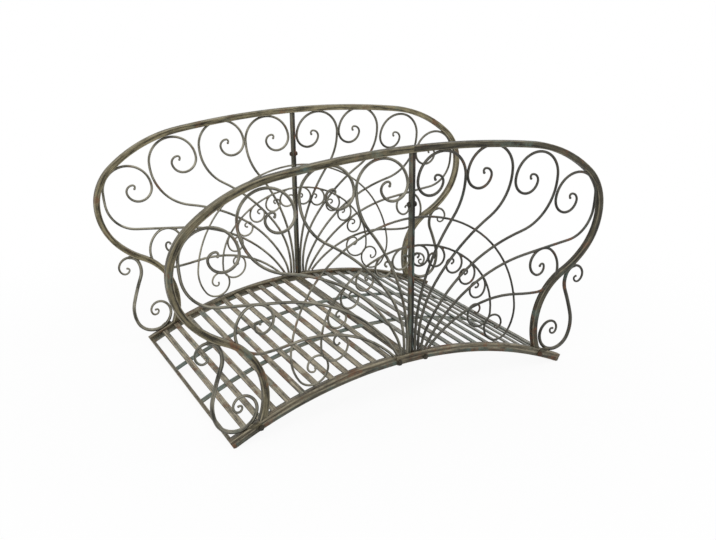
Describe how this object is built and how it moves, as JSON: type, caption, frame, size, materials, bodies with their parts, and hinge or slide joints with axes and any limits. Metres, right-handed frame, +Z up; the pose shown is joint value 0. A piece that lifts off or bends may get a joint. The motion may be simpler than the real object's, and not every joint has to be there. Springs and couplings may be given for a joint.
{
  "type": "garden moon bridge",
  "caption": "Knock-down wrought-iron garden footbridge with an arched slatted deck and scrolled railings on both sides",
  "frame": {"origin": "on the ground at the centre of the bridge's footprint", "axes": "+X along the bridge, +Y across it, +Z up"},
  "size_m": [1.5058, 0.878, 0.8197],
  "materials": {
    "railing_iron": "antique brown paint over iron, worn and rusted in patches",
    "scroll_iron": "dark bronze paint over forged rod, worn on its edges",
    "deck_iron": "antique brown paint, scuffed pale on top",
    "slat_iron": "worn taupe and brown paint with rust showing",
    "runner_iron": "grey-green patina on flat bar"
  },
  "bodies": {
    "root": {"handrail_near_left": "railing_iron", "handrail_near_right": "railing_iron", "handrail_far_left": "railing_iron", "handrail_far_right": "railing_iron", "half_post_near_left": "railing_iron", "half_post_near_right": "railing_iron", "half_post_far_left": "railing_iron", "half_post_far_right": "railing_iron", "base_bar_near_left": "railing_iron", "base_bar_near_right": "railing_iron", "base_bar_far_left": "railing_iron", "base_bar_far_right": "railing_iron", "fan_scrolls_near_left": "scroll_iron", "fan_scrolls_near_right": "scroll_iron", "fan_scrolls_far_left": "scroll_iron", "fan_scrolls_far_right": "scroll_iron", "arc_scrolls_near_left": "scroll_iron", "arc_scrolls_near_right": "scroll_iron", "arc_scrolls_far_left": "scroll_iron", "arc_scrolls_far_right": "scroll_iron", "end_scroll_near_left": "railing_iron", "end_scroll_near_right": "railing_iron", "end_scroll_far_left": "railing_iron", "end_scroll_far_right": "railing_iron", "side_rail_near_left": "deck_iron", "side_rail_near_right": "deck_iron", "side_rail_far_left": "deck_iron", "side_rail_far_right": "deck_iron", "end_bar_left": "deck_iron", "end_bar_right": "deck_iron", "centre_bar_left": "deck_iron", "centre_bar_right": "deck_iron", "deck_slats_left": "slat_iron", "deck_slats_right": "slat_iron", "runners_left": "runner_iron", "runners_right": "runner_iron", "foot_plate_near": "deck_iron", "foot_plate_far": "deck_iron"}
  },
  "joints": []
}
